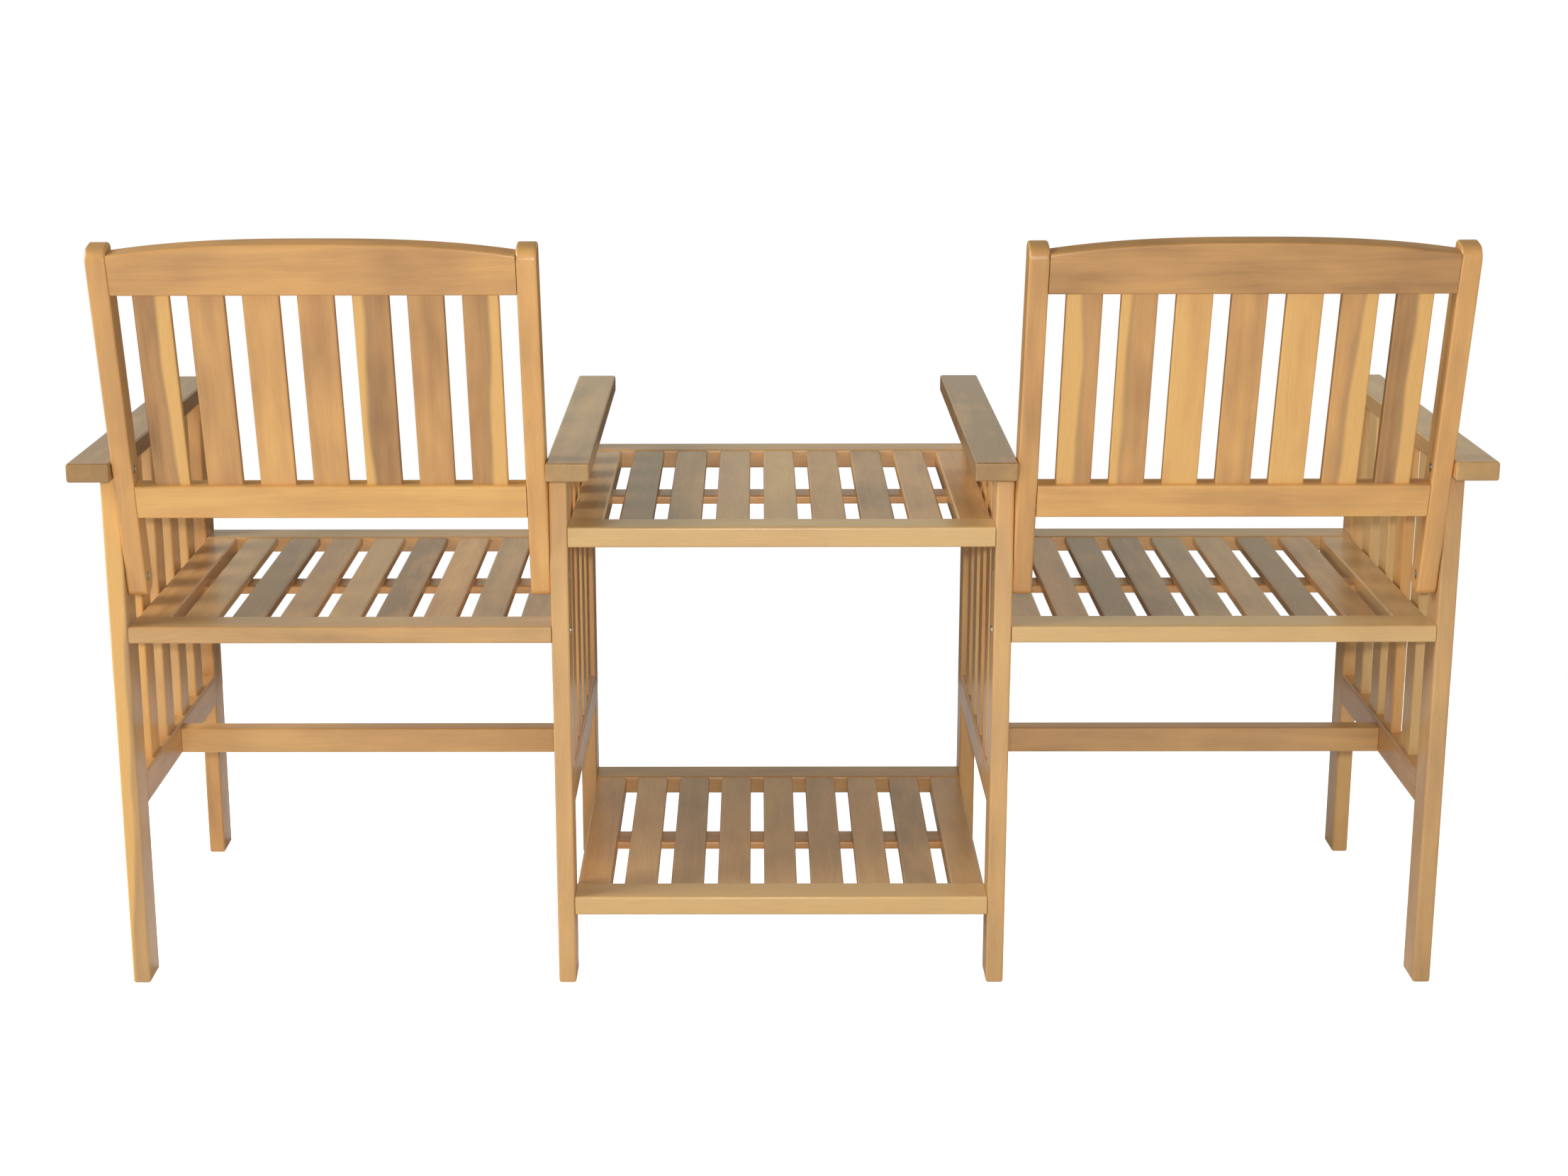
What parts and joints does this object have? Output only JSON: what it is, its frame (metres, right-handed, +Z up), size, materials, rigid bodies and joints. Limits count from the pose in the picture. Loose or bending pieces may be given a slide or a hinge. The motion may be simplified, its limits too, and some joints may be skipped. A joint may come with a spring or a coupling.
{
  "type": "garden bench with side table",
  "caption": "Slatted hardwood garden bench: chairs with leaning backs and armrests, joined by a side table with a shelf below.",
  "frame": {"origin": "on the ground under the middle of the bench's overall box", "axes": "+X to the sitter's left along the length of the bench, +Y to the rear, towards the backrests, +Z up"},
  "size_m": [1.588, 0.6116, 0.8874],
  "materials": {
    "oiled_hardwood": "satin oil",
    "zinc_steel": "bright zinc plated"
  },
  "bodies": {
    "root": {"left_outer_front_leg": "oiled_hardwood", "left_outer_rear_leg": "oiled_hardwood", "left_outer_armrest": "oiled_hardwood", "left_outer_slatted_side": "oiled_hardwood", "left_inner_front_leg": "oiled_hardwood", "left_inner_rear_leg": "oiled_hardwood", "left_inner_armrest": "oiled_hardwood", "left_inner_slatted_side": "oiled_hardwood", "right_inner_front_leg": "oiled_hardwood", "right_inner_rear_leg": "oiled_hardwood", "right_inner_armrest": "oiled_hardwood", "right_inner_slatted_side": "oiled_hardwood", "right_outer_front_leg": "oiled_hardwood", "right_outer_rear_leg": "oiled_hardwood", "right_outer_armrest": "oiled_hardwood", "right_outer_slatted_side": "oiled_hardwood", "left_seat_rear_rail": "oiled_hardwood", "left_seat_front_rail": "oiled_hardwood", "left_seat_slats": "oiled_hardwood", "right_seat_rear_rail": "oiled_hardwood", "right_seat_front_rail": "oiled_hardwood", "right_seat_slats": "oiled_hardwood", "table_rear_rail": "oiled_hardwood", "table_front_rail": "oiled_hardwood", "table_slats": "oiled_hardwood", "shelf_rear_rail": "oiled_hardwood", "shelf_front_rail": "oiled_hardwood", "shelf_slats": "oiled_hardwood", "left_chair_stretcher": "oiled_hardwood", "left_outer_stile": "oiled_hardwood", "left_inner_stile": "oiled_hardwood", "left_crest_rail": "oiled_hardwood", "left_lower_back_rail": "oiled_hardwood", "left_back_slat_1": "oiled_hardwood", "left_back_slat_2": "oiled_hardwood", "left_back_slat_3": "oiled_hardwood", "left_back_slat_4": "oiled_hardwood", "left_back_slat_5": "oiled_hardwood", "left_back_slat_6": "oiled_hardwood", "left_back_slat_7": "oiled_hardwood", "right_chair_stretcher": "oiled_hardwood", "right_outer_stile": "oiled_hardwood", "right_inner_stile": "oiled_hardwood", "right_crest_rail": "oiled_hardwood", "right_lower_back_rail": "oiled_hardwood", "right_back_slat_1": "oiled_hardwood", "right_back_slat_2": "oiled_hardwood", "right_back_slat_3": "oiled_hardwood", "right_back_slat_4": "oiled_hardwood", "right_back_slat_5": "oiled_hardwood", "right_back_slat_6": "oiled_hardwood", "right_back_slat_7": "oiled_hardwood", "left_outer_upper_back_bolt": "zinc_steel", "left_outer_lower_back_bolt": "zinc_steel", "left_inner_upper_back_bolt": "zinc_steel", "left_inner_lower_back_bolt": "zinc_steel", "right_outer_upper_back_bolt": "zinc_steel", "right_outer_lower_back_bolt": "zinc_steel", "right_inner_upper_back_bolt": "zinc_steel", "right_inner_lower_back_bolt": "zinc_steel"}
  },
  "joints": []
}
